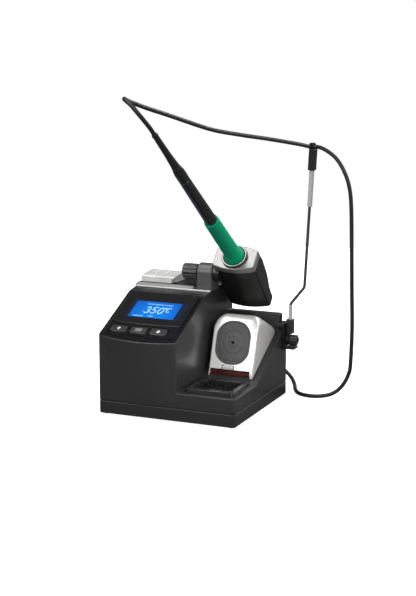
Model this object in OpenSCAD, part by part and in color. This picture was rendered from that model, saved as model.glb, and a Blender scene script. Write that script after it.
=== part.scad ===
// Compact soldering station: sloped control panel, adjustable tool stand,
// tip cleaner, sponge tray and a cable arm. Millimetres, +Z up, front is -Y.

/* [Case] */
// overall width of the case
body_w = 150; // [130:1:170]
// overall depth of the case
body_d = 148; // [130:1:170]
// height of the split between tray and upper case
tray_z = 15; // [10:0.5:20]
// height of the flat deck at the front right
deck_z = 30.5; // [26:0.5:36]
// right side of the console block
console_x = 12; // [8:0.5:16]
// height of the panel at its front edge
panel_z = 83; // [78:0.5:90]
// slope of the control panel in degrees
panel_tilt = 24; // [18:1:30]
// wall thickness of the mouldings
wall = 2.4; // [2:0.1:3]

/* [Stand] */
// lean of the resting tool from vertical
tool_lean = 53.5; // [46:0.5:58]
// lean of the top face of the stand
cap_lean = 48; // [42:0.5:54]
// centre of the stand across the case
stand_x = 37; // [34:0.5:40]
// width of the stand
stand_w = 46; // [42:1:50]
// radius of the ring on top of the stand
ring_r = 13.6; // [12.5:0.1:15]

/* [Tool] */
// length of the foam grip
grip_len = 76; // [60:1:90]
// length of the rigid handle above the ring
handle_len = 180; // [176:1:190]
// radius of the handle tube
handle_r = 6.3; // [5.5:0.1:7.5]
// radius of the cable
cable_r = 2.1; // [1.8:0.1:2.6]

/* [Cable arm] */
// radius of the thin rod
rod_r = 1.5; // [1.2:0.1:2]
// radius of the sliding tube
tube_r = 2.6; // [2.3:0.1:3.2]

/* [Hidden] */
$fn = 48;
front_y = -body_d / 2;
back_y = body_d / 2;
half_w = body_w / 2;
foot_z = 1.4;
panel_len = 80;
panel_top_y = front_y + 73;
panel_top_z = panel_z + 32.5;
band_y = front_y + 88;
band_z = 117.7;
top_y = front_y + 92;
top_z = 121;
ramp_y0 = front_y + 58;
ramp_y1 = 65.5;
ramp_z1 = 75.7;
should_z = 89;
pivot_y = 24;
pivot_z = 136.5;
ring_y = 19.1;
ring_z = 155.2;
tool_y = 16.4;
tool_z = 157.6;
arm_y = 68;
arm_z = 61.5;
plug_x = 36;
plug_z = 30;

black = [0.08, 0.08, 0.09];
dark = [0.20, 0.20, 0.21];
silver = [0.75, 0.75, 0.73];
steel = [0.62, 0.63, 0.65];
green = [0.03, 0.50, 0.33];

// upright block with rounded corners
module rbox(x0, x1, y0, y1, z0, z1, r) {
  translate([0, 0, z0]) linear_extrude(z1 - z0) {
    translate([x0 + r, y0]) square([x1 - x0 - 2 * r, y1 - y0]);
    translate([x0, y0 + r]) square([x1 - x0, y1 - y0 - 2 * r]);
    for (x = [x0 + r, x1 - r]) for (y = [y0 + r, y1 - r]) translate([x, y]) circle(r);
  }
}
// plain block between two corners
module box(x0, x1, y0, y1, z0, z1) {
  translate([x0, y0, z0]) cube([x1 - x0, y1 - y0, z1 - z0]);
}
// side profile in the YZ plane extruded across the case
module prof(x0, x1, pts) {
  translate([x0, 0, 0]) rotate([90, 0, 90]) linear_extrude(x1 - x0) polygon(pts);
}
// cylinder along X
module cylx(x0, x1, y, z, r) {
  translate([x0, y, z]) rotate([0, 90, 0]) cylinder(h = x1 - x0, r = r);
}
// cylinder along Y
module cyly(x, y0, y1, z, r) {
  translate([x, y0, z]) rotate([-90, 0, 0]) cylinder(h = y1 - y0, r = r);
}
// the four case screw positions
module at_posts(z) for (x = [-68.6, 68.6]) for (y = [-67.6, 67.6]) translate([x, y, z]) children();
// local frame of the sloped control panel: y runs up the slope, z is outward
module on_panel() translate([0, front_y, panel_z]) rotate([panel_tilt, 0, 0]) children();
// local frame of the top face of the stand
module on_cap() translate([stand_x, ring_y, ring_z]) rotate([cap_lean, 0, 0]) children();
// local frame of the tool, z runs up the handle
module on_tool() translate([stand_x, tool_y, tool_z]) rotate([tool_lean, 0, 0]) children();
// frame of the cable arm above its bend
module on_arm() translate([96, arm_y, 119.5]) rotate([0, 3, 0]) children();

// ---------- swept cable ----------
function unit(v) = v / norm(v);
function curve(a, b, c, d, t) = 0.5 * ((2 * b) + (c - a) * t + (2 * a - 5 * b + 4 * c - d) * t * t
  + (3 * b - a - 3 * c + d) * t * t * t);
function route(p, n) = let (m = len(p) - 1) concat([for (i = [0:m - 1]) for (k = [0:n[i] - 1])
  curve(i == 0 ? 2 * p[0] - p[1] : p[i - 1], p[i], p[i + 1],
    i + 2 > m ? 2 * p[m] - p[m - 1] : p[i + 2], k / n[i])], [p[m]]);
function heading(q, i) = unit(q[min(i + 1, len(q) - 1)] - q[max(i - 1, 0)]);
function carry(v, t) = unit(v - (v * t) * t);
function sides(q, i, v) = i == len(q) ? [] : let (n = carry(v, heading(q, i)))
  concat([n], sides(q, i + 1, n));
module sweep(p, steps, r, first, m = 8) {
  q = route(p, steps);
  s = sides(q, 0, first);
  pts = [for (i = [0:len(q) - 1]) let (t = heading(q, i), n = s[i], b = cross(t, n))
    for (k = [0:m - 1]) q[i] + r * (cos(360 * k / m) * n + sin(360 * k / m) * b)];
  rings = len(q);
  faces = concat([[for (k = [0:m - 1]) k]], [[for (k = [m - 1:-1:0]) (rings - 1) * m + k]],
    [for (i = [0:rings - 2]) for (k = [0:m - 1])
      [i * m + k, (i + 1) * m + k, (i + 1) * m + (k + 1) % m, i * m + (k + 1) % m]]);
  polyhedron(pts, faces);
}
tool_route = [[37, -175, 299], [37, -183, 305], [35.5, -193, 313], [31.5, -198.5, 320.5],
  [26, -199, 326.5], [19.5, -195.5, 330], [14, -188, 331], [13.5, -179, 328.5], [16, -168, 325],
  [20, -147, 319], [27, -118, 311], [39.5, -77, 298.5], [48, -53, 292], [62, -17.5, 285],
  [76, 15, 279], [94, 53, 271], [100.6, 67.5, 267.3]];
tool_steps = [1, 1, 1, 1, 1, 1, 1, 1, 1, 2, 3, 4, 2, 3, 3, 4];
drop_route = [[104, 72.5, 267.3], [109, 76, 266], [117, 77, 262], [126, 77, 255], [134, 76, 244],
  [140, 76, 229], [143, 76, 208], [144.5, 76, 161], [145.5, 76, 119], [146.5, 76, 76], [145.5, 76, 39],
  [143.5, 76, 28], [139, 75, 18], [132.5, 74, 10], [124, 72.5, 4.8], [112, 70, 2.4], [99, 69, 2.3],
  [88, 75, 2.3], [80, 88, 2.4], [73, 104, 4], [64, 117, 8], [52, 123, 15], [41, 119, 24], [36.5, 111, 29],
  [36, 106, 30]];
drop_steps = [1, 1, 1, 1, 1, 2, 4, 4, 4, 3, 1, 1, 1, 1, 1, 1, 1, 2, 2, 2, 1, 1, 1, 1];

// ---------- case ----------
module console_outer(g = 0) {
  prof(-half_w + g, console_x - g, [[front_y + g, 0], [front_y + g, panel_z - g * 0.8],
    [panel_top_y + g * 0.2, panel_top_z - g], [band_y + g, band_z - g], [top_y + g, top_z - g],
    [back_y - g, top_z - g], [back_y - g, 0]]);
}
module deck_outer(g = 0, x0 = 0) {
  prof(x0, half_w - g, [[front_y + g, 0], [front_y + g, deck_z - g], [ramp_y0 + g * 0.2, deck_z - g],
    [ramp_y1 + g, ramp_z1 - g], [ramp_y1 + g, should_z - g], [back_y - g, should_z - g], [back_y - g, 0]]);
}
module case_solid() {
  intersection() {
    union() {
      console_outer();
      difference() {
        deck_outer(0, 0);
        // the wall behind the cleaner stops short of the right side
        box(69.5, half_w + 1, ramp_y1 - 20, back_y + 1, ramp_z1, 100);
      }
    }
    rbox(-half_w, half_w, front_y, back_y, tray_z, 130, 3);
  }
  // gentle bulge of the console front
  intersection() {
    translate([-26, front_y + 184.6, 83]) rotate([4.2, 0, 0]) translate([0, 0, -90])
      cylinder(h = 180, r = 190);
    difference() {
      box(-half_w + 3, console_x - 0.5, front_y - 8, front_y + 3, tray_z, 90);
      on_panel() box(-90, 30, -20, 30, 0, 30);
    }
  }
}
module upper_case() color(dark) difference() {
  case_solid();
  difference() {
    union() {
      console_outer(wall);
      deck_outer(wall, console_x - wall - 0.5);
    }
    box(-100, 100, -100, 100, -1, tray_z - 0.5);
    // solid ledge for the stand ear and the cleaner screws
    box(-6, 13, band_y + 1, 40, 108, 125);
    // pocket walls for the sponge tray
    box(17, 69.8, front_y + 9, front_y + 56, 23.2, 31);
    // posts for the case screws
    at_posts(tray_z) cylinder(h = 12, r = 4.4);
  }
  // window in the slope for the control bezel
  on_panel() box(-71, 8, 4, 78, -6, 4);
  // pocket for the sponge tray
  box(19.5, 66.8, front_y + 12, front_y + 53.5, 24.6, 40);
  // seat for the stand ear
  box(-4, console_x + 1, band_y, pivot_y + 10, band_z, 130);
  // seat for the pad on the platform
  box(-71.8, -8.3, top_y + 0.7, 71, top_z - 0.8, 130);
  // opening in the back for the rear panel
  box(-62, 62, 66, 80, 17.5, 66);
  // screw holes and slots behind the cleaner
  at_posts(tray_z - 1) cylinder(h = 10, r = 1.45);
  for (i = [0:5]) box(-half_w - 1, -half_w + wall + 1, 8 + i * 8, 12 + i * 8, 78, 98);
}
module base_tray() color(dark) difference() {
  union() {
    rbox(-half_w, half_w, front_y, back_y, foot_z, tray_z - 0.5, 3);
    rbox(-half_w + 2.8, half_w - 2.8, front_y + 2.8, back_y - 2.8, tray_z - 1, tray_z + 2, 2);
  }
  rbox(-half_w + 4.3, half_w - 4.3, front_y + 4.3, back_y - 4.3, foot_z + wall, 40, 2);
  at_posts(0) cylinder(h = 20, r = 1.7);
  for (i = [0:8]) box(-40 + i * 9, -35.5 + i * 9, 20, 52, 0, 5);
  // lip cut away where the case posts come down
  at_posts(tray_z - 0.5) cylinder(h = 20, r = 4.7);
}
module rubber_feet() color(black) {
  for (x = [-60, 60]) for (y = [-50, 50]) translate([x, y, 0]) cylinder(h = foot_z, r = 7);
  // middle pad under the heavy plate
  cylinder(h = foot_z, r = 7);
}
module base_screws() color(steel) at_posts(foot_z - 1.2) {
  cylinder(h = 1.2, r = 2.9);
  cylinder(h = 18, r = 1.4);
}
module rear_panel() color(steel) difference() {
  box(-61.8, 61.8, 70.5, 72, 17.7, 65.8);
  box(-54, -26, 60, 80, 26, 47);
  box(-14, -1, 60, 80, 24, 46);
  cyly(plug_x, 60, 80, plug_z, 8.2);
  cyly(14, 60, 80, 30, 4.1);
  box(9, 20, 60, 80, 44, 53);
  for (i = [0:6]) box(28 + i * 4.4, 30.2 + i * 4.4, 60, 80, 46, 60);
}
module mains_inlet() color(black) difference() {
  union() {
    box(-53.8, -26.2, 50, 72.4, 26.2, 46.8);
    box(-57, -23, 72, 73.4, 23.5, 49.5);
  }
  box(-51.8, -28.2, 58, 80, 33.4, 45.2);
  box(-50.5, -29.5, 56, 80, 27.6, 32.4);
}
module fuse_drawer() color(black) {
  box(-50.2, -29.8, 60, 73.8, 27.9, 32.1);
  box(-43, -37, 73.8, 75, 28.6, 31.4);
}
module switch_frame() color(black) difference() {
  union() {
    box(-13.8, -1.2, 56, 72.4, 24.2, 45.8);
    box(-15.5, 0.5, 72, 73.6, 22, 48);
  }
  box(-12, -3, 58, 80, 24.7, 45.3);
}
module mains_rocker() color(black) intersection() {
  box(-11.7, -3.3, 62, 77, 24, 46);
  difference() {
    union() {
      prof(-11.8, -3.2, [[65, 29], [75.6, 26.7], [73.2, 35], [74.2, 43.3], [65, 41]]);
      cylx(-11.8, -3.2, 66, 35, 4);
    }
  }
}
module earth_socket() color(green) difference() {
  union() {
    cyly(14, 62, 72, 30, 4);
    cyly(14, 72, 74, 30, 5.6);
  }
  cyly(14, 64, 76, 30, 2);
}
module data_socket() color(black) difference() {
  box(9.1, 19.9, 58, 72.8, 44.1, 52.9);
  box(10.4, 18.6, 62, 76, 45.4, 51.6);
}
module tool_socket() color(steel) difference() {
  union() {
    cyly(plug_x, 60, 72, plug_z, 8);
    cyly(plug_x, 72, 74.2, plug_z, 9.6);
  }
  cyly(plug_x, 62, 76, plug_z, 6.6);
}
module tool_plug() color(black) {
  cyly(plug_x, 62.4, 75, plug_z, 6.2);
  cyly(plug_x, 75, 96, plug_z, 8);
  translate([plug_x, 96, plug_z]) rotate([-90, 0, 0]) cylinder(h = 9.6, r1 = 4.6, r2 = 2.9);
}
module ballast_plate() color(steel) difference() {
  box(-66, 66, -54, 16, foot_z + wall, 7);
  for (i = [0:1]) translate([-50 + i * 100, 0, 0]) cylinder(h = 20, r = 6);
}
module transformer_core() color(steel) difference() {
  box(-64, -8, 0, 42, 8, 62);
  box(-55, -17, -10, 80, 17, 26);
  box(-55, -17, -10, 80, 44, 53);
}
module transformer_winding() color([0.72, 0.42, 0.16]) difference() {
  rbox(-54.6, -17.4, -6, 48, 17.4, 52.6, 2);
  box(-70, 0, -0.3, 42.3, 26, 44);
  box(-57, -10, 4, 38, 10, 17.4);
}
module main_board() color([0.05, 0.30, 0.15]) difference() {
  union() {
    box(-63, 63, -66, -8, 20, 21.6);
    box(0, 63, -9, 30, 20, 21.6);
  }
  for (x = [-58, 60]) translate([x, -60, 0]) cylinder(h = 40, r = 1.6);
}
module board_parts() color([0.15, 0.15, 0.17]) {
  for (i = [0:3]) translate([-50 + i * 15, -15, 21.6]) cylinder(h = 18, r = 5);
  box(-40, -24, -46, -30, 21.6, 23.4);
  box(4, 18, 8, 20, 21.6, 33);
  for (i = [0:3]) box(-10 + i * 7, -6 + i * 7, -60, -50, 21.6, 25);
}
module heatsink() color(silver) {
  box(24, 62, 6, 10, 21.6, 38);
  for (i = [0:6]) box(24 + i * 5.9, 26.4 + i * 5.9, 10, 26, 24, 38);
}
module display_board() color([0.05, 0.30, 0.15]) on_panel() box(-68, 6, 8, 74, -8, -6.6);
module display_module() color([0.10, 0.22, 0.75]) on_panel() {
  box(-62, 3, 30, 69, -6.6, -2.4);
}
module control_bezel() color(black) on_panel() difference() {
  box(-70.7, 7.7, 4.3, 77.7, -2.2, 0.6);
  box(-58, -1, 33.4, 65.6, -5, 3);
  for (k = [0:2]) translate([-56.5 + k * 22, 0, 0]) box(-9.7, 9.7, 6.7, 17.9, -5, 3);
}
module display_window() color([0.03, 0.03, 0.04]) on_panel() rbox(-70, 7.2, 22.4, 77.2, 0.6, 1.4, 3);
module key_mat() color([0.35, 0.35, 0.36]) on_panel() {
  box(-67, 5, 5, 20, -4.6, -3.8);
  for (k = [0:2]) translate([-56.5 + k * 22, 12.3, -6.5]) cylinder(h = 3.1, r = 3);
}
module key(k) on_panel() translate([-56.5 + k * 22, 0, 0]) {
  rbox(-9.3, 9.3, 7.1, 17.5, -1.6, 1.5, 2);
  box(-8.6, 8.6, 7.8, 16.8, -2, -1.6);
}
module key_up() color(dark) key(0);
module key_select() color(dark) key(1);
module key_down() color(dark) key(2);
// ---------- top of the console ----------
module top_trim() color(steel) {
  box(-half_w + 0.4, console_x - 0.2, band_y - 1.3, band_y - 0.1, band_z, band_z + 1.5);
  prof(-half_w + 0.4, -8.6, [[band_y - 0.1, band_z], [band_y - 0.1, band_z + 0.8],
    [top_y - 0.5, top_z + 0.8], [top_y + 0.4, top_z + 0.8], [top_y + 0.4, top_z], [top_y, top_z]]);
}
module changer_pad() color(black) {
  rbox(-71.6, -8.5, top_y + 0.8, 70.8, top_z - 0.8, top_z + 0.6, 3);
  box(-71.6, -8.5, 66, 70.8, top_z, top_z + 5);
}
module changer_block() color(silver) difference() {
  prof(-71.5, -33, [[21, top_z + 0.6], [21, 128.2], [23, 129], [48, 131], [50, top_z + 0.6]]);
  // tip holes
  for (i = [0:2]) translate([-63 + i * 11, 36, 123]) cylinder(h = 20, r = 2.4);
  box(-58.8, -57.2, 26, 44, 126.5, 140);
  box(-47.8, -46.2, 26, 44, 126.5, 140);
  // grip recess at the right end
  box(-36, -30, 18, 30, 120, 126);
}
// ---------- stand ----------
module stand_ear() color(dark) difference() {
  union() {
    cylx(-4, 12.4, pivot_y, pivot_z, 10);
    box(-4, 12.4, pivot_y - 10, pivot_y + 10, band_z, pivot_z);
  }
  cylx(-10, 20, pivot_y, pivot_z, 3.05);
}
module pivot_bolt() color(steel) {
  cylx(-10, 14.8, pivot_y, pivot_z, 3);
}
module tilt_knob() color(black) difference() {
  union() {
    cylx(-22.5, -5.2, pivot_y, pivot_z, 7.4);
    for (i = [0:15]) translate([0, pivot_y, pivot_z]) rotate([i * 22.5, 0, 0])
      cylx(-22, -6, 7.2, 0, 0.8, $fn = 16);
  }
  cylx(-10.6, 0, pivot_y, pivot_z, 3.3);
  cylx(-24, -21.6, pivot_y, pivot_z, 4.5);
}
module stand_shroud() color(black) difference() {
  union() {
    prof(stand_x - stand_w / 2, stand_x + stand_w / 2, [[18, 142.1], [62.7, 96.2], [70.6, 106.2],
      [61.2, 117.9], [52.8, 134.7], [39.7, 151.9], [32, 157.7]]);
    // bowed front
    translate([stand_x, 18, 142.1]) rotate([-135.8, 0, 0]) intersection() {
      translate([0, -73.8, -3]) cylinder(h = 66.2, r = 77.3);
      translate([-stand_w / 2 + 0.3, -2, -3]) cube([stand_w - 0.6, 10, 66.2]);
    }
    on_tool() translate([0, 0, -78]) cylinder(h = 70, r = 13);
    // boss on the pivot
    cylx(13, 20, pivot_y, pivot_z, 9);
  }
  on_tool() translate([0, 0, -90]) cylinder(h = 100, r = 10.6);
  cylx(12, 15, pivot_y, pivot_z, 3.1);
  // keep clear of the cap
  on_cap() box(-40, 40, -30, 30, -8, 20);
}
// outline of the stand, bowed at the front and the back
module bowed(w, d, sag, z0, z1) {
  r = (w * w / 4 + sag * sag) / (2 * sag);
  translate([0, 0, z0]) linear_extrude(z1 - z0) intersection() {
    square([w, 2 * (d + sag)], center = true);
    translate([0, r - d - sag]) circle(r);
    translate([0, d + sag - r]) circle(r);
  }
}
module stand_cap() color(silver) difference() {
  on_cap() bowed(stand_w, 10.5, 4.3, -7.9, 0);
  on_tool() translate([0, 0, -40]) cylinder(h = 80, r = 12.2);
}
module stand_ring() color(silver) difference() {
  on_cap() translate([0, 0, 0.05]) cylinder(h = 3.5, r = ring_r);
  on_tool() translate([0, 0, -40]) cylinder(h = 80, r = 11.7);
}
module stand_liner() color(dark) on_tool() difference() {
  union() {
    translate([0, 0, -9]) cylinder(h = 6.7, r = 11.6);
    translate([0, 0, -74]) cylinder(h = 65.1, r = 10.3);
  }
  translate([0, 0, -80]) cylinder(h = 90, r = 7.6);
}

// ---------- tool ----------
module grip_sleeve() color(green) on_tool() difference() {
  union() {
    translate([0, 0, 9]) cylinder(h = grip_len - 9, r1 = 8.3, r2 = 7.7);
    translate([0, 0, 1]) cylinder(h = 8.1, r1 = 10.6, r2 = 8.3);
    translate([0, 0, -2]) cylinder(h = 3.1, r = 10.6);
  }
  translate([0, 0, -10]) cylinder(h = 200, r = 5.8);
}
module handle_body() color(black) on_tool() {
  translate([0, 0, -4]) cylinder(h = grip_len + 5, r = 5.7);
  translate([0, 0, grip_len + 0.3]) cylinder(h = 80, r1 = handle_r, r2 = handle_r - 0.9);
  translate([0, 0, grip_len + 80]) cylinder(h = 2.4, r = handle_r - 1.5);
  translate([0, 0, grip_len + 82]) cylinder(h = 12, r = handle_r - 0.8);
  translate([0, 0, grip_len + 94]) cylinder(h = handle_len - grip_len - 94, r1 = handle_r - 0.8, r2 = 4.2);
}
module handle_relief() color(black) on_tool() {
  translate([0, 0, handle_len + 0.1]) cylinder(h = 237.4 - handle_len, r1 = 4.1, r2 = 2.7);
  // end bead
  translate([0, 0, 234.6]) cylinder(h = 2, r = 3.1);
}
module nose_collar() color(steel) on_tool() {
  translate([0, 0, -8]) cylinder(h = 4, r = 6.4);
  translate([0, 0, -16]) cylinder(h = 8, r1 = 4.6, r2 = 5.6);
}
module cartridge_shaft() color(steel) on_tool() {
  translate([0, 0, -44]) cylinder(h = 28, r = 3);
  translate([0, 0, -47]) cylinder(h = 3.1, r = 3.4);
}
module soldering_tip() color([0.5, 0.5, 0.48]) on_tool() {
  translate([0, 0, -54]) cylinder(h = 7, r = 2.1);
  translate([0, 0, -63]) cylinder(h = 9, r1 = 0.4, r2 = 2.1);
}

// ---------- tip cleaner ----------
pod_x0 = 17;
pod_x1 = 68;
module on_pod() translate([43, 0, 69.5]) rotate([71.2, 0, 0]) children();
module pod_shape(g) {
  prof(pod_x0 + g, pod_x1 - g, [[-9.5 + g, 35.4 - g * 4], [-9.5 + g, 41], [6.5 + g, 88 - g],
    [9.6 + g * 0.5, 93.5 - g], [15 + g * 0.5, 95.4 - g], [24, 94.6 - g], [45, 85.4 - g],
    [58, 79.3 - g], [64.6 - g, 76.2 - g],
    [64.6 - g, 75.6 - g * 4]]);
}
// tall window shape with large corner radii
module tall(w, h, r, z0, z1) rbox(-w / 2, w / 2, -h / 2, h / 2, z0, z1, r);
module cleaner_cover() color(silver) difference() {
  intersection() {
    pod_shape(0);
    // rounded upper corners seen from the front
    translate([0, 80, 0]) rotate([90, 0, 0]) linear_extrude(160) {
      translate([pod_x0, 20]) square([pod_x1 - pod_x0, 64]);
      translate([pod_x0 + 12, 20]) square([pod_x1 - pod_x0 - 24, 76]);
      for (x = [pod_x0 + 12, pod_x1 - 12]) translate([x, 84]) circle(12);
    }
  }
  intersection() {
    pod_shape(2);
    translate([0, 80, 0]) rotate([90, 0, 0]) linear_extrude(160) {
      translate([pod_x0 + 2, 10]) square([pod_x1 - pod_x0 - 4, 74]);
      translate([pod_x0 + 12, 10]) square([pod_x1 - pod_x0 - 24, 84]);
      for (x = [pod_x0 + 12, pod_x1 - 12]) translate([x, 84]) circle(10);
    }
  }
  // opening above the residue tray
  box(pod_x0 + 2, pod_x1 - 2, -20, 0, 20, 40.8);
  // window for the membrane
  on_pod() tall(35, 43, 15.5, -6, 6);
  // latch slot
  box(33.2, 47.8, -20, 0, 42, 47);
}
module cleaner_membrane() color(dark) on_pod() difference() {
  union() {
    tall(34.4, 42.4, 15.2, -2.6, 1.2);
    tall(38, 46, 17, 0.1, 1.2);
  }
  translate([0, 0, -6]) cylinder(h = 12, r = 1.8);
  for (r = [6, 12]) translate([0, 0, 0.7]) difference() {
    cylinder(h = 2, r = r);
    translate([0, 0, -1]) cylinder(h = 4, r = r - 0.8);
  }
}
module cleaner_latch() color(silver) {
  box(33.6, 47.4, -9.6, -4.6, 42.4, 46.6);
}
module cleaner_tray() color([0.25, 0.05, 0.04]) {
  prof(pod_x0 + 3, pod_x1 - 3, [[-6.5, 36.3], [-6.5, 40.4], [5, 44.4], [58, 73.4], [58, 71.9]]);
}
module cleaner_wool() color([0.80, 0.62, 0.25]) {
  translate([42.5, 26, 70]) sphere(r = 12);
  translate([42.5, 26, 62]) cylinder(h = 8, r = 9);
}

// ---------- sponge tray ----------
module wiper_tray() color(black) difference() {
  union() {
    rbox(17.5, 69, front_y + 8, front_y + 57, deck_z, deck_z + 4.2, 4);
    rbox(20, 66.3, front_y + 12.5, front_y + 53, 24.8, deck_z + 1, 3);
  }
  rbox(22, 64, front_y + 15, front_y + 51, 26.2, deck_z + 10, 3);
}
module wiper_insert() color([0.12, 0.12, 0.11]) {
  rbox(22.3, 63.7, front_y + 15.3, front_y + 50.7, 26.2, 28.4, 2.7);
  for (i = [0:7])
    translate([26 + i * 4.8, front_y + 47.6, 28.4]) cylinder(h = 3.4, r1 = 1.8, r2 = 0.6, $fn = 16);
}

// ---------- cable arm ----------
module arm_bracket() color(black) {
  box(70, 77, 58, 73.5, ramp_z1, 80.5);
  box(half_w, 77, 58, 73.5, 52.5, 80.5);
  box(76, 88, 60.5, 73.5, 52.5, 54.6);
}
module arm_fork() color(dark) difference() {
  union() {
    cylx(77.3, 79.7, arm_y, arm_z, 5.5);
    box(77.3, 79.7, arm_y - 4, arm_y + 4, arm_z, 84);
    box(77.3, 84, arm_y - 4, arm_y + 4, 68.6, 84);
  }
  cylx(70, 90, arm_y, arm_z, 2.6);
  translate([80.6, arm_y, 72]) cylinder(h = 20, r = 2.05);
}
module arm_pin() color(steel) cylx(77, 86, arm_y, arm_z, 2.5);
module arm_knob() color(black) difference() {
  union() {
    cylx(80.2, 89, arm_y, arm_z, 5.2);
    for (i = [0:11]) translate([0, arm_y, arm_z]) rotate([i * 30, 0, 0])
      cylx(80.6, 88.4, 5, 0, 0.7, $fn = 16);
  }
  cylx(80, 86.3, arm_y, arm_z, 2.8);
  cylx(88.2, 90, arm_y, arm_z, 1.8);
}
module arm_rod() color(steel) {
  translate([80.6, arm_y, 72.2]) cylinder(h = 26.8, r = 2);
  translate([80.6, arm_y, 98]) cylinder(h = 2.2, r = rod_r);
  translate([80.6, arm_y, 100.2]) sphere(r = rod_r + 0.12);
  translate([80.6, arm_y, 100.2]) rotate([0, 38.6, 0]) cylinder(h = 24.7, r = rod_r);
  translate([96, arm_y, 119.5]) sphere(r = rod_r + 0.12);
  on_arm() cylinder(h = 107, r = rod_r);
}
module arm_tube() color(silver) on_arm() difference() {
  translate([0, 0, 86]) cylinder(h = 42, r = tube_r);
  translate([0, 0, 80]) cylinder(h = 60, r = rod_r + 0.06);
}
module cable_clip() color(black) {
  on_arm() difference() {
    translate([-3.4, -4, 124]) cube([6.8, 8, 22]);
    translate([0, 0, 120]) cylinder(h = 8.05, r = tube_r + 0.02);
  }
  translate([102.3, 70, 267.3]) rotate([0, 0, -34]) rotate([90, 0, 0]) translate([0, 0, -2.05])
    cylinder(h = 4.45, r = 4.2);
}

module cord_tool() color(black) sweep(tool_route, tool_steps, cable_r, [1, 0, 0]);
module cord_drop() color(black) sweep(drop_route, drop_steps, cable_r, [0, 0, 1]);

upper_case();
base_tray();
rubber_feet();
base_screws();
rear_panel();
mains_inlet();
fuse_drawer();
switch_frame();
mains_rocker();
earth_socket();
data_socket();
tool_socket();
tool_plug();
ballast_plate();
transformer_core();
transformer_winding();
main_board();
board_parts();
heatsink();
display_board();
display_module();
control_bezel();
display_window();
key_mat();
key_up();
key_select();
key_down();
top_trim();
changer_pad();
changer_block();
stand_ear();
pivot_bolt();
tilt_knob();
stand_shroud();
stand_cap();
stand_ring();
stand_liner();
grip_sleeve();
handle_body();
handle_relief();
nose_collar();
cartridge_shaft();
soldering_tip();
cleaner_cover();
cleaner_membrane();
cleaner_latch();
cleaner_tray();
cleaner_wool();
wiper_tray();
wiper_insert();
arm_bracket();
arm_fork();
arm_pin();
arm_knob();
arm_rod();
arm_tube();
cable_clip();
cord_tool();
cord_drop();
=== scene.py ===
import bpy, bmesh, math, random
from math import sin, cos, pi, radians, sqrt, atan2
from mathutils import Vector, Matrix


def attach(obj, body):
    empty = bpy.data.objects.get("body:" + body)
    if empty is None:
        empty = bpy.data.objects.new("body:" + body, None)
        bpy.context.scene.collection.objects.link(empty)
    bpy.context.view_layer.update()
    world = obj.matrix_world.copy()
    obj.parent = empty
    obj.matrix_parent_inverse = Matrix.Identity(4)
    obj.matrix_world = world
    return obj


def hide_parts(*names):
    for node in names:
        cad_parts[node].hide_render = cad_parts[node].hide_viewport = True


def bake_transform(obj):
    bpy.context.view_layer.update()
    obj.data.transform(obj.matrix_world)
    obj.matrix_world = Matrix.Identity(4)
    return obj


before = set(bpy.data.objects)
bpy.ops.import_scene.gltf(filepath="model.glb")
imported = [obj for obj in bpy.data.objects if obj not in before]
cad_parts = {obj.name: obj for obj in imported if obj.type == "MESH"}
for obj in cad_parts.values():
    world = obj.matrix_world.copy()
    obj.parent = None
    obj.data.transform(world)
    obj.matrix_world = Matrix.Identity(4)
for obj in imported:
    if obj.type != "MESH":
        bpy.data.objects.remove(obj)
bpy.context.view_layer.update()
scene = bpy.context.scene
MM = 0.001

# ---------------------------------------------------------------- places, in millimetres
def turn(degrees, axis):
    return Matrix.Rotation(radians(degrees), 4, axis)

def at(x, y, z):
    return Matrix.Translation((x, y, z))

ALONG_X = turn(90, "Y")                         # local z becomes X
ALONG_Y = turn(-90, "X")                        # local z becomes Y
PANEL = at(0, -74, 83) @ turn(24, "X")          # z is outward from the sloped control panel
CAP = at(37, 19.1, 155.2) @ turn(48, "X")       # z is outward from the silver face of the stand
TOOL = at(37, 16.4, 157.6) @ turn(53.5, "X")    # z runs up the handle
POD = at(43, 0, 69.5) @ turn(71.2, "X")         # z is outward from the tip cleaner's face
ARM = at(96, 68, 119.5) @ turn(3, "Y")          # z runs up the cable arm
PIVOT = at(0, 24, 136.5) @ ALONG_X              # z runs along the stand's hinge
TILT_KNOB = at(-22.5, 24, 136.5) @ ALONG_X      # z runs from the tilt knob's outer end
ARM_KNOB = at(80.2, 68, 61.5) @ ALONG_X         # z runs from the arm knob's inner end
SIDE = Matrix(((0, 0, 1, 0), (1, 0, 0, 0), (0, 1, 0, 0), (0, 0, 0, 1)))  # outline (Y, Z) pushed along X
# heights above the control panel
GLASS_TOP, BORDER_TOP, FIELD_TOP, PRINT_TOP = 1.4, 1.42, 1.45, 1.47

def add(name, data):
    """a new object in the scene"""
    ob = bpy.data.objects.new(name, data)
    scene.collection.objects.link(ob)
    return ob

# ---------------------------------------------------------------- camera
def set_camera():
    data = bpy.data.cameras.new("studio_camera")
    data.lens = 92.16
    data.sensor_width = 36
    data.clip_end = 30
    camera = add("studio_camera", data)
    aim = Vector((0.01442, 0.001, 0.11405))
    azimuth, height = radians(23.14), radians(11.60)
    back = Vector((sin(azimuth) * cos(height), -cos(azimuth) * cos(height), sin(height)))
    camera.location = aim + back * 1.57475
    camera.rotation_euler = back.to_track_quat("Z", "Y").to_euler()
    scene.camera = camera

# ---------------------------------------------------------------- shader building blocks
def link(tree, a, b):
    tree.links.new(a, b)

def math_node(tree, operation, *terms):
    """a Math node fed by numbers or by other nodes' sockets"""
    n = tree.nodes.new("ShaderNodeMath")
    n.operation = operation
    for socket, term in zip(n.inputs, terms):
        if isinstance(term, float):
            socket.default_value = term
        else:
            link(tree, term, socket)
    return n.outputs[0]

def new_nodes(tree, *kinds):
    return [tree.nodes.new("ShaderNode" + kind) for kind in kinds]

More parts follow.
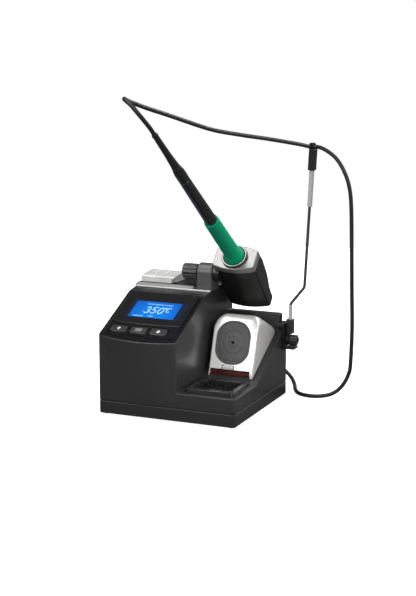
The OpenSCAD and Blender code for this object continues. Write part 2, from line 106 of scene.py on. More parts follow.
def new_tree(owner):
    """turns on an owner's node tree and empties it"""
    owner.use_nodes = True
    owner.node_tree.nodes.clear()
    return owner.node_tree

def grain_group():
    """moulded grain, brushed streaks and worn patches, by how the coordinates are stretched"""
    g = bpy.data.node_groups.new("surface_grain", "ShaderNodeTree")
    for name, kind, value in (("Vector", "NodeSocketVector", None), ("Grain Scale", "NodeSocketFloat", 900.0),
                              ("Patch Scale", "NodeSocketFloat", 25.0), ("Rough Low", "NodeSocketFloat", 0.3),
                              ("Rough High", "NodeSocketFloat", 0.5)):
        s = g.interface.new_socket(name=name, in_out="INPUT", socket_type=kind)
        if value is not None:
            s.default_value = value
    for name in ("Height", "Roughness", "Patch", "Speck"):
        g.interface.new_socket(name=name, in_out="OUTPUT", socket_type="NodeSocketFloat")
    n = g.nodes
    a, z = n.new("NodeGroupInput"), n.new("NodeGroupOutput")
    fine, wide, fleck = n.new("ShaderNodeTexNoise"), n.new("ShaderNodeTexNoise"), n.new("ShaderNodeTexVoronoi")
    fine.inputs["Detail"].default_value = 3.0
    wide.inputs["Detail"].default_value = 5.0
    wide.inputs["Roughness"].default_value = 0.6
    for t in (fine, wide, fleck):
        link(g, a.outputs["Vector"], t.inputs["Vector"])
    link(g, a.outputs["Grain Scale"], fine.inputs["Scale"])
    link(g, a.outputs["Grain Scale"], fleck.inputs["Scale"])
    link(g, a.outputs["Patch Scale"], wide.inputs["Scale"])
    spread = n.new("ShaderNodeMapRange")
    spread.inputs["From Min"].default_value = 0.3
    spread.inputs["From Max"].default_value = 0.7
    link(g, wide.outputs["Fac"], spread.inputs["Value"])
    both = math_node(g, "MULTIPLY_ADD", fine.outputs["Fac"], 0.45,
                     math_node(g, "MULTIPLY", spread.outputs["Result"], 0.6))
    rough = n.new("ShaderNodeMapRange")
    link(g, both, rough.inputs["Value"])
    link(g, a.outputs["Rough Low"], rough.inputs["To Min"])
    link(g, a.outputs["Rough High"], rough.inputs["To Max"])
    link(g, fine.outputs["Fac"], z.inputs["Height"])
    link(g, rough.outputs["Result"], z.inputs["Roughness"])
    link(g, spread.outputs["Result"], z.inputs["Patch"])
    link(g, fleck.outputs["Distance"], z.inputs["Speck"])
    return g

GRAIN = grain_group()

def finish(name, tone, tone_b=None, rough=(0.3, 0.45), grain=900.0, patch=30.0, depth=0.02, metal=0.0,
           coat=0.0, coat_rough=0.08, spec=0.5, stretch=(1, 1, 1), speck=False, glow=None, glow_power=0.0):
    """a paint, plastic or metal: two tones in patches, a rough range and a bump depth in millimetres"""
    m = bpy.data.materials.new(name)
    t = new_tree(m)
    out, shader = new_nodes(t, "OutputMaterial", "BsdfPrincipled")
    link(t, shader.outputs[0], out.inputs[0])
    place, lay, grp = new_nodes(t, "TexCoord", "Mapping", "Group")
    grp.node_tree = GRAIN
    lay.inputs["Scale"].default_value = stretch
    link(t, place.outputs["Object"], lay.inputs["Vector"])
    link(t, lay.outputs[0], grp.inputs["Vector"])
    grp.inputs["Grain Scale"].default_value = grain
    grp.inputs["Patch Scale"].default_value = patch
    grp.inputs["Rough Low"].default_value, grp.inputs["Rough High"].default_value = rough
    link(t, grp.outputs["Roughness"], shader.inputs["Roughness"])
    if tone_b is None:
        tone_b = tuple(c * 0.86 for c in tone)
    mix = t.nodes.new("ShaderNodeMix")
    mix.data_type = "RGBA"
    mix.inputs["A"].default_value = (*tone, 1)
    mix.inputs["B"].default_value = (*tone_b, 1)
    link(t, grp.outputs["Speck" if speck else "Patch"], mix.inputs["Factor"])
    link(t, mix.outputs["Result"], shader.inputs["Base Color"])
    bump = t.nodes.new("ShaderNodeBump")
    bump.inputs["Strength"].default_value = 1.0
    bump.inputs["Distance"].default_value = depth * MM
    link(t, grp.outputs["Speck" if speck else "Height"], bump.inputs["Height"])
    link(t, bump.outputs[0], shader.inputs["Normal"])
    shader.inputs["Metallic"].default_value = metal
    shader.inputs["Coat Weight"].default_value = coat
    shader.inputs["Coat Roughness"].default_value = coat_rough
    shader.inputs["Specular IOR Level"].default_value = spec
    if glow:
        shader.inputs["Emission Color"].default_value = (*glow, 1)
        shader.inputs["Emission Strength"].default_value = glow_power
    m.diffuse_color = (*tone, 1)
    return m

case_grey = finish("case_grey", (0.022, 0.022, 0.023), (0.018, 0.018, 0.019), rough=(0.36, 0.46), grain=1400,
                   patch=14, depth=0.008, coat=0.25, coat_rough=0.16)
tray_grey = finish("tray_grey", (0.017, 0.017, 0.018), (0.014, 0.014, 0.015), rough=(0.36, 0.46), grain=1400,
                   patch=14, depth=0.008, coat=0.25, coat_rough=0.16)
panel_black = finish("panel_black", (0.005, 0.005, 0.006), rough=(0.26, 0.34), grain=1800, depth=0.006,
                     spec=0.2)
gloss_black = finish("gloss_black", (0.005, 0.005, 0.006), rough=(0.10, 0.16), grain=600, depth=0.001,
                     coat=0.5, coat_rough=0.04)
key_grey = finish("key_grey", (0.030, 0.030, 0.032), rough=(0.30, 0.38), grain=1500, depth=0.006)
stand_black = finish("stand_black", (0.011, 0.011, 0.011), (0.009, 0.009, 0.009), rough=(0.30, 0.40),
                     grain=1300, depth=0.010)
knob_black = finish("knob_black", (0.030, 0.030, 0.031), rough=(0.24, 0.34), grain=1200, depth=0.010)
gloss_tray = finish("gloss_tray", (0.014, 0.014, 0.015), rough=(0.22, 0.32), grain=900, depth=0.006)
slope_black = finish("slope_black", (0.005, 0.005, 0.006), rough=(0.24, 0.32), grain=1500, depth=0.004,
                     spec=0.2)
lip_grey = finish("lip_grey", (0.17, 0.17, 0.165), (0.15, 0.15, 0.146), rough=(0.30, 0.40), grain=1500,
                  depth=0.004, metal=0.3)
rubber = finish("rubber", (0.008, 0.008, 0.009), (0.012, 0.012, 0.013), rough=(0.50, 0.62), grain=1600,
                depth=0.02, spec=0.15)
ear_grey = finish("ear_grey", (0.095, 0.095, 0.096), (0.084, 0.084, 0.085), rough=(0.28, 0.36), grain=1400,
                  patch=14, depth=0.008)
membrane_rubber = finish("membrane_rubber", (0.056, 0.056, 0.057), (0.046, 0.046, 0.047), rough=(0.42, 0.55),
                         grain=1500, depth=0.015)
cable_black = finish("cable_black", (0.014, 0.014, 0.015), (0.020, 0.020, 0.021), rough=(0.36, 0.50),
                     grain=1100, depth=0.02)
handle_black = finish("handle_black", (0.017, 0.017, 0.018), rough=(0.26, 0.34), grain=1500, depth=0.006)
grip_green = finish("grip_green", (0.001, 0.47, 0.235), (0.001, 0.39, 0.19), rough=(0.62, 0.78), grain=1100,
                    patch=60, depth=0.05, speck=True, spec=0.2)
silver_satin = finish("silver_satin", (0.80, 0.795, 0.775), (0.74, 0.735, 0.715), rough=(0.28, 0.38),
                      grain=2200, patch=20, depth=0.004, metal=0.45)
block_satin = finish("block_satin", (0.86, 0.86, 0.84), (0.72, 0.72, 0.70), rough=(0.28, 0.40), grain=1800,
                     patch=60, depth=0.008, metal=0.2)
# the stand cap's silver: a much darker copy of the pod's silver, painted shade that offsets the strong top light
# on the cap's upward face
cap_silver_painted_shade = finish("cap_silver_painted_shade", (0.36, 0.355, 0.345), (0.31, 0.305, 0.297), rough=(0.30, 0.40), grain=2200,
                   patch=20, depth=0.004, metal=0.6)
white_ring = finish("white_ring", (0.80, 0.80, 0.78), rough=(0.3, 0.4), grain=1500, depth=0.004)
dark_metal = finish("dark_metal", (0.10, 0.10, 0.10), rough=(0.3, 0.4), metal=0.8, grain=1500, depth=0.004)
bare_steel = finish("bare_steel", (0.27, 0.27, 0.265), (0.21, 0.21, 0.21), rough=(0.20, 0.32), grain=900,
                    patch=60, depth=0.004, metal=1.0, stretch=(8, 8, 0.6))
plate_steel = finish("plate_steel", (0.30, 0.30, 0.31), (0.26, 0.26, 0.27), rough=(0.35, 0.5), grain=700,
                     depth=0.006, metal=0.9, stretch=(0.5, 1, 6))
tinned = finish("tinned", (0.55, 0.54, 0.51), (0.30, 0.28, 0.25), rough=(0.25, 0.45), grain=900, patch=300,
                depth=0.01, metal=1.0)
copper = finish("copper", (0.55, 0.24, 0.08), (0.42, 0.17, 0.05), rough=(0.25, 0.4), grain=1200, depth=0.02,
                metal=1.0, stretch=(1, 1, 5))
board_green = finish("board_green", (0.010, 0.11, 0.045), (0.008, 0.085, 0.035), rough=(0.25, 0.4), grain=500,
                     patch=150, depth=0.01)
chip_black = finish("chip_black", (0.02, 0.02, 0.02), rough=(0.4, 0.5), grain=900, depth=0.01)
fin_alloy = finish("fin_alloy", (0.65, 0.65, 0.66), rough=(0.3, 0.4), grain=900, depth=0.006, metal=1.0,
                   stretch=(1, 1, 0.2))
module_grey = finish("module_grey", (0.05, 0.06, 0.10), rough=(0.3, 0.4), grain=900, depth=0.004)
earth_green = finish("earth_green", (0.02, 0.30, 0.08), rough=(0.25, 0.35), grain=900, depth=0.004)
residue_red = finish("residue_red", (0.075, 0.012, 0.010), (0.05, 0.008, 0.007), rough=(0.16, 0.26), grain=900,
                     depth=0.004)
brass = finish("brass", (0.62, 0.42, 0.14), (0.50, 0.32, 0.09), rough=(0.2, 0.35), grain=900, depth=0.006,
               metal=1.0)
sponge_dark = finish("sponge_dark", (0.006, 0.006, 0.006), (0.003, 0.003, 0.003), rough=(0.6, 0.8), grain=700,
                     patch=200, depth=0.12, speck=True, spec=0.2)
contact_gold = finish("contact_gold", (0.70, 0.52, 0.22), rough=(0.2, 0.3), grain=900, depth=0.003, metal=1.0)
print_white = finish("print_white", (0.75, 0.75, 0.75), rough=(0.4, 0.5), grain=1500, depth=0.002)
print_grey = finish("print_grey", (0.30, 0.30, 0.30), rough=(0.4, 0.5), grain=1500, depth=0.002)
screen_dim = finish("screen_dim", (0.002, 0.012, 0.045), (0.002, 0.010, 0.035), rough=(0.10, 0.14), grain=600,
                    depth=0.001, coat=0.5, coat_rough=0.03)
screen_digits = finish("screen_digits", (0.40, 0.55, 0.65), rough=(0.3, 0.4), grain=900, depth=0.001,
                       glow=(0.28, 0.56, 0.80), glow_power=1.0)
screen_small = finish("screen_small", (0.2, 0.35, 0.6), rough=(0.3, 0.4), grain=900, depth=0.001,
                      glow=(0.16, 0.42, 0.95), glow_power=1.0)

def screen_light():
    """lit liquid crystal: brighter low in the middle, fading towards the edges, behind a clear front"""
    m = bpy.data.materials.new("screen_light")
    t = new_tree(m)
    out, shader = new_nodes(t, "OutputMaterial", "BsdfPrincipled")
    link(t, shader.outputs[0], out.inputs[0])
    place, lay, fall = new_nodes(t, "TexCoord", "Mapping", "TexGradient")
    fall.gradient_type = "SPHERICAL"
    centre = (PANEL @ Vector((-30, 42, 1.4))) * MM
    lay.vector_type = "TEXTURE"
    lay.inputs["Location"].default_value = centre
    lay.inputs["Rotation"].default_value = (radians(24), 0, 0)
    lay.inputs["Scale"].default_value = (0.042, 0.036, 0.04)
    link(t, place.outputs["Object"], lay.inputs["Vector"])
    link(t, lay.outputs[0], fall.inputs["Vector"])
    ramp = t.nodes.new("ShaderNodeValToRGB")
    ramp.color_ramp.elements[0].color = (0.000, 0.040, 0.34, 1)
    ramp.color_ramp.elements[1].color = (0.002, 0.20, 0.74, 1)
    ramp.color_ramp.elements[1].position = 0.75
    link(t, fall.outputs["Fac"], ramp.inputs["Fac"])
    link(t, ramp.outputs["Color"], shader.inputs["Emission Color"])
    shader.inputs["Emission Strength"].default_value = 1.0
    shader.inputs["Base Color"].default_value = (0.0, 0.02, 0.10, 1)
    shader.inputs["Roughness"].default_value = 0.12
    return m

screen_blue = screen_light()

# ---------------------------------------------------------------- mesh building blocks, in millimetres
def piece(name, bm, place=None, merge=1e-4):
    bmesh.ops.remove_doubles(bm, verts=bm.verts, dist=merge)
    bmesh.ops.recalc_face_normals(bm, faces=bm.faces)
    bm.transform(Matrix.Scale(MM, 4) @ (place or Matrix()))
    mesh = bpy.data.meshes.new(name)
    bm.to_mesh(mesh)
    bm.free()
    return add(name, mesh)

def fillet(corners, n=6, closed=True):
    """(x, y, radius) corners to a plain outline with round corners"""
    out, m = [], len(corners)
    for i, (x, y, r) in enumerate(corners):
        if r <= 0 or (not closed and i in (0, m - 1)):
            out.append((x, y))
            continue
        p, a, b = Vector((x, y)), Vector(corners[i - 1][:2]), Vector(corners[(i + 1) % m][:2])
        u, v = (a - p).normalized(), (b - p).normalized()
        angle = u.angle(v)
        if angle > pi - 0.02:
            out.append((x, y))
            continue
        d = min(r / math.tan(angle / 2), (a - p).length * 0.499, (b - p).length * 0.499)
        rr = d * math.tan(angle / 2)
        c = p + (u + v).normalized() * (rr / sin(angle / 2))
        s, e = p + u * d - c, p + v * d - c
        a0 = atan2(s.y, s.x)
        da = (atan2(e.y, e.x) - a0 + pi) % (2 * pi) - pi
        out += [(c.x + rr * cos(a0 + da * k / n), c.y + rr * sin(a0 + da * k / n)) for k in range(n + 1)]
    return out

def rect(x0, x1, y0, y1, r, n=6):
    return fillet([(x0, y0, r), (x1, y0, r), (x1, y1, r), (x0, y1, r)], n)

def spokes(n):
    """n angles spread evenly round a circle"""
    return [2 * pi * k / n for k in range(n)]

def circle(r, n=64):
    return [(r * cos(a), r * sin(a)) for a in spokes(n)]

def bridge(bm, rings):
    """joins closed loops of vertices that have the same count, each to the next"""
    n = len(rings[0])
    for a, b in zip(rings, rings[1:]):
        for k in range(n):
            bm.faces.new((a[k], a[(k + 1) % n], b[(k + 1) % n], b[k]))

def slab(name, outline, z0, z1, place=None, top=0.0, foot=0.0, steps=3):
    """an outline pushed from z0 to z1, with its top and bottom rims rounded"""
    bm = bmesh.new()
    low = [bm.verts.new((x, y, z0)) for x, y in outline]
    high = [bm.verts.new((x, y, z1)) for x, y in outline]
    bm.faces.new(list(reversed(low)))
    lid = bm.faces.new(high)
    bridge(bm, [low, high])
    bmesh.ops.recalc_face_normals(bm, faces=bm.faces)
    if top:
        bmesh.ops.bevel(bm, geom=list(lid.edges), offset=top, segments=steps, profile=0.5, affect="EDGES")
    if foot:
        edges = [e for e in bm.edges if all(abs(v.co.z - z0) < 1e-5 for v in e.verts) and len(e.link_faces) == 2
                 and any(abs(f.normal.z) < 0.5 for f in e.link_faces)]
        bmesh.ops.bevel(bm, geom=edges, offset=foot, segments=steps, profile=0.5, affect="EDGES")
    return piece(name, bm, place)

def turned(name, profile, place=None, sides=96):
    """(r, z) points spun about the local z axis"""
    bm = bmesh.new()
    rings = []
    for r, z in profile:
        rings.append([bm.verts.new((x, y, z)) for x, y in circle(r, sides)])
    for i in range(len(rings) - 1):
        for k in range(sides):
            q = (rings[i][k], rings[i][(k + 1) % sides], rings[i + 1][(k + 1) % sides], rings[i + 1][k])
            if profile[i][0] > 1e-6 and profile[i + 1][0] > 1e-6:
                bm.faces.new(q)
            elif profile[i][0] <= 1e-6 and profile[i + 1][0] > 1e-6:
                bm.faces.new((q[0], q[2], q[3]))
            elif profile[i][0] > 1e-6:
                bm.faces.new((q[0], q[1], q[2]))
    return piece(name, bm, place)

def lip(points, n=5):
    """an open (r, z, radius) profile with its corners rounded"""
    return fillet(points, n, closed=False)

def washer(inner, outer, low, high, r):
    """closed outline of a flat ring whose outer edges are rounded by r"""
    return lip([(inner, low, 0), (outer, low, r), (outer, high, r), (inner, high, 0), (inner, low, 0)])

def drill(r, low, high, place, sides=96):
    """a plain cylinder to cut with"""
    return turned("drill", [(0, low), (r, low), (r, high), (0, high)], place, sides)

def settle(ob):
    """bakes the live modifiers into a plain mesh"""
    bpy.context.view_layer.update()
    graph = bpy.context.evaluated_depsgraph_get()
    mesh = bpy.data.meshes.new_from_object(ob.evaluated_get(graph), preserve_all_data_layers=True,
                                           depsgraph=graph)
    ob.modifiers.clear()
    ob.data = mesh
    return ob

def cut(ob, *tools, how="DIFFERENCE"):
    for tool in tools:
        m = ob.modifiers.new("cut", "BOOLEAN")
        m.operation, m.solver, m.object = how, "EXACT", tool
        settle(ob)
        bpy.data.objects.remove(tool)
    return ob

def tidy(ob, angle=0.6):
    """merges doubled points and faces that lie flat within angle degrees"""
    bm = bmesh.new()
    bm.from_mesh(ob.data)
    bmesh.ops.remove_doubles(bm, verts=bm.verts, dist=2e-6)
    bmesh.ops.dissolve_limit(bm, angle_limit=radians(angle), verts=bm.verts, edges=bm.edges)
    bmesh.ops.dissolve_degenerate(bm, dist=1e-6, edges=bm.edges)
    bm.to_mesh(ob.data)
    bm.free()
    return ob

def soften(ob, width, steps=2, angle=30, pick=None):
    """rounds the edges sharper than angle, or those that pick(middle in mm, normal a, normal b) chooses"""
    if pick:
        bm = bmesh.new()
        bm.from_mesh(ob.data)
        limit = cos(radians(angle))
        chosen = []
        for e in bm.edges:
            if len(e.link_faces) == 2:
                a, b = e.link_faces[0].normal, e.link_faces[1].normal
                if a.dot(b) < limit and pick((e.verts[0].co + e.verts[1].co) * (0.5 / MM), a, b):
                    chosen.append(e)
        bmesh.ops.bevel(bm, geom=chosen, offset=width * MM, segments=steps, profile=0.5, affect="EDGES",
                        clamp_overlap=False)
        bm.to_mesh(ob.data)
        bm.free()
        return ob
    m = ob.modifiers.new("round", "BEVEL")
    m.width, m.segments, m.limit_method, m.angle_limit = width * MM, steps, "ANGLE", radians(angle)
    m.use_clamp_overlap = False
    return settle(ob)

def smooth(ob, angle=35):
    mesh = ob.data
    mesh.polygons.foreach_set("use_smooth", [True] * len(mesh.polygons))
    mesh.set_sharp_from_angle(angle=radians(angle))
    mesh.update()
    return ob

def weigh(ob):
    """flat faces keep flat shading beside their rounded edges"""
    m = ob.modifiers.new("weigh", "WEIGHTED_NORMAL")
    m.keep_sharp = True
    m.weight = 80
    return settle(ob)

def paint(ob, *materials):
    ob.data.materials.clear()
    for m in materials:
        ob.data.materials.append(m)
    return ob

def paint_where(ob, index, test):
    """faces whose middle in mm and normal pass the test get another material"""
    for p in ob.data.polygons:
        if test(p.center / MM, p.normal):
            p.material_index = index
    return ob

def place_on(ob, body, node, material=None, angle=35, weighted=True):
    """finished: shaded, painted, riding on its body and standing for its frame node"""
    if material is not None:
        paint(ob, material)
    smooth(ob, angle)
    if weighted:
        weigh(ob)
    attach(ob, body)
    if node:
        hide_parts(node)
    return ob

def from_frame(name, node, width=0.4, steps=2, angle=30):
    """a copy of a frame node with merged faces and rounded edges"""
    ob = add(name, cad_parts[node].data.copy())
    ob.data.materials.clear()
    tidy(ob)
    if width:
        soften(ob, width, steps, angle)
    return ob

def dress(name, node, width, steps, body, material):
    """a frame piece with softened edges and one material, standing for its node"""
    place_on(from_frame(name, node, width, steps), body, node, material)

def join(name, *obs):
    """several meshes as one piece"""
    bm = bmesh.new()
    mats = []
    for o in obs:
        for m in o.data.materials:
            if m not in mats:
                mats.append(m)
    for o in obs:
        part = o.data.copy()
        remap = [mats.index(m) for m in o.data.materials] or [0]
        for p in part.polygons:
            p.material_index = remap[min(p.material_index, len(remap) - 1)]
        bm.from_mesh(part)
        bpy.data.meshes.remove(part)
    mesh = bpy.data.meshes.new(name)
    bm.to_mesh(mesh)
    bm.free()
    for m in mats:
        mesh.materials.append(m)
    for o in obs:
        bpy.data.objects.remove(o)
    return add(name, mesh)

def shift(ob, place):
    """moves a mesh by a place in mm"""
    m = place.copy()
    m.translation = m.translation * MM
    ob.data.transform(m)
    return ob

# ---------------------------------------------------------------- repeats made with geometry nodes
def repeat_tree(kind):
    """row: copies stepped along a line; ring: copies turned about the Z axis"""
    g = bpy.data.node_groups.new("repeat_" + kind, "GeometryNodeTree")
    g.is_modifier = True
    sockets = [("Geometry", "INPUT", "Geometry"), ("Count", "INPUT", "Int"), ("Step", "INPUT", "Vector"),
               ("Shrink", "INPUT", "Float"), ("Finish", "INPUT", "Material"), ("Geometry", "OUTPUT", "Geometry")]
    for name, way, form in sockets:
        if kind == "row" or name not in ("Step", "Shrink"):
            g.interface.new_socket(name=name, in_out=way, socket_type="NodeSocket" + form)
    n = g.nodes
    a, z = n.new("NodeGroupInput"), n.new("NodeGroupOutput")
    line, put = n.new("GeometryNodeMeshLine"), n.new("GeometryNodeInstanceOnPoints")
    real, coat = n.new("GeometryNodeRealizeInstances"), n.new("GeometryNodeSetMaterial")
    index = n.new("GeometryNodeInputIndex")
    link(g, a.outputs["Count"], line.inputs["Count"])
    link(g, line.outputs["Mesh"], put.inputs["Points"])
    link(g, a.outputs["Geometry"], put.inputs["Instance"])
    if kind == "row":
        link(g, a.outputs["Step"], line.inputs["Offset"])
        size = math_node(g, "SUBTRACT", 1.0, math_node(g, "MULTIPLY", index.outputs[0], a.outputs["Shrink"]))
        vec = n.new("ShaderNodeCombineXYZ")
        link(g, size, vec.inputs["X"])
        link(g, size, vec.inputs["Y"])
        vec.inputs["Z"].default_value = 1.0
        link(g, vec.outputs[0], put.inputs["Scale"])
    else:
        line.inputs["Offset"].default_value = (0, 0, 0)
        spin = math_node(g, "MULTIPLY", index.outputs[0], math_node(g, "DIVIDE", 2 * pi, a.outputs["Count"]))
        vec = n.new("ShaderNodeCombineXYZ")
        link(g, spin, vec.inputs["Z"])
        link(g, vec.outputs[0], put.inputs["Rotation"])
    link(g, put.outputs[0], real.inputs[0])
    link(g, real.outputs[0], coat.inputs["Geometry"])
    link(g, a.outputs["Finish"], coat.inputs["Material"])
    link(g, coat.outputs[0], z.inputs["Geometry"])
    return g

ROW, RING = repeat_tree("row"), repeat_tree("ring")

def repeated(ob, tree, material, **values):
    """runs a repeat tree on a mesh that stands at its own origin, and bakes it"""
    m = ob.modifiers.new("repeat", "NODES")
    m.node_group = tree
    for item in tree.interface.items_tree:
        if item.item_type == "SOCKET" and item.in_out == "INPUT" and item.name in values:
            m[item.identifier] = values[item.name]
        if item.item_type == "SOCKET" and item.in_out == "INPUT" and item.name == "Finish":
            m[item.identifier] = material
    return settle(ob)

def row(ob, count, step, material, shrink=0.0):
    return repeated(ob, ROW, material, Count=count, Step=[s * MM for s in step], Shrink=shrink)

def ring(ob, count, material):
    return repeated(ob, RING, material, Count=count)

# ---------------------------------------------------------------- swept tubes
def curve_points(route, step):
    """a smooth curve through the route's points, in mm, sampled about every step"""
    pts = [Vector(p) for p in route]
    out = []
    for i in range(len(pts) - 1):
        b, c = pts[i], pts[i + 1]
        a = pts[i - 1] if i else 2 * b - c
        d = pts[i + 2] if i + 2 < len(pts) else 2 * c - b
        n = max(1, round((c - b).length / step))
        for k in range(n):
            t = k / n
            out.append(0.5 * ((2 * b) + (c - a) * t + (2 * a - 5 * b + 4 * c - d) * t * t
                              + (3 * b - a - 3 * c + d) * t ** 3))
    out.append(pts[-1])
    return out

def tube(name, path, radius, sides=20, start=Vector((1, 0, 0)), caps=(True, True)):
    """a round tube along path, in mm, its sides counted from the start direction"""
    bm = bmesh.new()
    rings = []
    normal = start
    m = len(path)
    for i, p in enumerate(path):
        way = (path[min(i + 1, m - 1)] - path[max(i - 1, 0)]).normalized()
        normal = (normal - way * normal.dot(way)).normalized()
        other = way.cross(normal)
        rings.append([bm.verts.new(p + radius * (cos(a) * normal + sin(a) * other)) for a in spokes(sides)])
    bridge(bm, rings)
    if caps[0]:
        bm.faces.new(list(reversed(rings[0])))
    if caps[1]:
        bm.faces.new(rings[-1])
    return piece(name, bm, merge=1e-5)

# ---------------------------------------------------------------- cables
TOOL_ROUTE = [(37, -175, 299), (37, -183, 305), (35.5, -193, 313), (31.5, -198.5, 320.5), (26, -199, 326.5),
              (19.5, -195.5, 330), (14, -188, 331), (13.5, -179, 328.5), (16, -168, 325), (20, -147, 319),
              (27, -118, 311), (39.5, -77, 298.5), (48, -53, 292), (62, -17.5, 285), (76, 15, 279),
              (94, 53, 271),
              (100.6, 67.5, 267.3)]
DROP_ROUTE = [(104, 72.5, 267.3), (109, 76, 266), (117, 77, 262), (126, 77, 255), (134, 76, 244),
              (140, 76, 229),
              (143, 76, 208), (144.5, 76, 161), (145.5, 76, 119), (146.5, 76, 76), (145.5, 76, 39),
              (143.5, 76, 28),
              (139, 75, 18), (132.5, 74, 10), (124, 72.5, 4.8), (112, 70, 2.4), (99, 69, 2.3), (88, 75, 2.3),
              (80, 88, 2.4), (73, 104, 4), (64, 117, 8), (52, 123, 15), (41, 119, 24), (36.5, 111, 29),
              (36, 106, 30)]
CABLE_R = 2.1

def cable(name, path, first, last):
    """one stretch of a cable between two bodies, from ring first to ring last of its path"""
    part = path[first:last + 1]
    ob = tube(name, part, CABLE_R, caps=(first == 0, last == len(path) - 1))
    paint(ob, cable_black)
    smooth(ob, 60)
    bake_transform(ob)
    return ob

def nearest(path, point):
    return min(range(len(path)), key=lambda i: (path[i] - Vector(point)).length)

def make_cables():
    path = curve_points(TOOL_ROUTE, 2.6)
    marks = [0, nearest(path, TOOL_ROUTE[8]), nearest(path, TOOL_ROUTE[11]), nearest(path, TOOL_ROUTE[14]),
             len(path) - 1]
    names = ("cable_at_handle", "cable_over_stand", "cable_over_case", "cable_to_clip")
    for k in range(4):
        a, b = marks[k], marks[k + 1]
        ob = cable(names[k], path, a, b)
        if k == 0:
            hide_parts("cord_tool")
    path = curve_points(DROP_ROUTE, 2.6)
    marks = [0, nearest(path, DROP_ROUTE[6]), len(path) - 1]
    ob = cable("cable_from_clip", path, 0, marks[1])
    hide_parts("cord_drop")
    cable("cable_to_socket", path, marks[1], marks[2])

# ---------------------------------------------------------------- case
def make_case():
    case = from_frame("case_shell", "upper_case", 0.7, 3, angle=32)
    paint(case, case_grey, slope_black)
    slope = (PANEL.to_3x3() @ Vector((0, 0, 1))).normalized()
    right_edge, lower_edge = 12.2, 79
    paint_where(case, 1, lambda c, n: n.dot(slope) > 0.995 and c.x < right_edge and c.z > lower_edge)
    place_on(case, "base", "upper_case")
    tray = from_frame("case_floor", "base_tray", 0.7, 2, angle=35)
    place_on(tray, "base", "base_tray", tray_grey)
    profile = lip([(0, 0, 0), (6.4, 0, 0.6), (7, 1.4, 0), (0, 1.4, 0)])
    centres = ((-60, -50), (60, -50), (-60, 50), (60, 50), (0, 0))
    feet = join("case_feet", *[turned(f"foot_{i}", profile, at(x, y, 0), 48) for i,
                               (x, y) in enumerate(centres)])
    place_on(feet, "base", "rubber_feet", rubber)

# ---------------------------------------------------------------- control panel
def make_panel():
    dress("panel_bezel", "control_bezel", 0.25, 2, "base", panel_black)
    lower = [(-70 + 77.2 * k / 24, 22.4 + 2.0 * (2 * k / 24 - 1) ** 2) for k in range(25)]
    outline = lower + fillet([(7.2, 24.4, 0), (7.2, 77.2, 3), (-70, 77.2, 3), (-70, 24.4, 0)])[1:-1]
    window = slab("panel_window", outline, 0.62, GLASS_TOP, PANEL, top=0.3)
    place_on(window, "base", "display_window", gloss_black)
    dim = slab("screen_border", rect(-60.2, 1.6, 33.4, 62.6, 0.4), 1.36, BORDER_TOP, PANEL)
    place_on(dim, "base", None, screen_dim)
    lit = slab("screen_field", rect(-56.0, -5.6, 34.0, 61.8, 0.3), 1.38, FIELD_TOP, PANEL)
    place_on(lit, "base", None, screen_blue)

def stroke(points, x, s, size, width):
    """one thin stroke of a figure on the screen, leaning a little, lying flat on the window"""
    path = [PANEL @ Vector((x + (px + py * 0.16) * size, s + py * size, PRINT_TOP)) for px, py in points]
    return tube("stroke", path, width, 8, start=Vector((0, 0, 1)))

def bend(cx, cy, rx, ry, a0, a1, n=14):
    """part of an ellipse, from angle a0 to angle a1"""
    angles = [radians(a0 + (a1 - a0) * k / n) for k in range(n + 1)]
    return [(cx + rx * cos(a), cy + ry * sin(a)) for a in angles]

def make_screen():
    """a plain temperature reading: three figures, the degree ring and the unit"""
    three = bend(0.24, 0.75, 0.22, 0.24, 160, -90, 16) + bend(0.24, 0.27, 0.25, 0.26, 90, -160, 18)
    five = [(0.50, 1.0), (0.14, 1.0), (0.08, 0.56)] + bend(0.24, 0.30, 0.25, 0.29, 125, -160, 20)
    nought = bend(0.26, 0.5, 0.24, 0.5, 0, 360, 32)
    marks = [stroke(figure, x, 42.0, 10.4, 0.36) for figure,
             x in ((three, -42.4), (five, -35.2), (nought, -27.6))]
    marks += [stroke(bend(0.1, 0.9, 0.10, 0.12, 0, 360, 16), -21.6, 45.4, 7.2, 0.26),
              stroke(bend(0.36, 0.5, 0.32, 0.5, 50, 310, 22), -19.0, 45.6, 7.2, 0.32)]
    place_on(join("screen_reading", *marks), "base", None, screen_digits, weighted=False)
    bits, rng, x = [], random.Random(5), -43.0
    while x < -15:
        w = rng.uniform(0.7, 1.9)
        bits.append(slab("bit", rect(x, x + w, 56.6, 58.0, 0.1, 2), 1.44, PRINT_TOP, PANEL))
        x += w + rng.uniform(0.5, 1.0)
    for a, b, y in ((-51.5, -40, 35.8), (-34.5, -29.3, 36.6)):
        bits.append(slab("bit", rect(a, b, y, y + 1.0, 0.2, 2), 1.44, PRINT_TOP, PANEL))
    place_on(join("screen_notes", *bits), "base", None, screen_small, weighted=False)

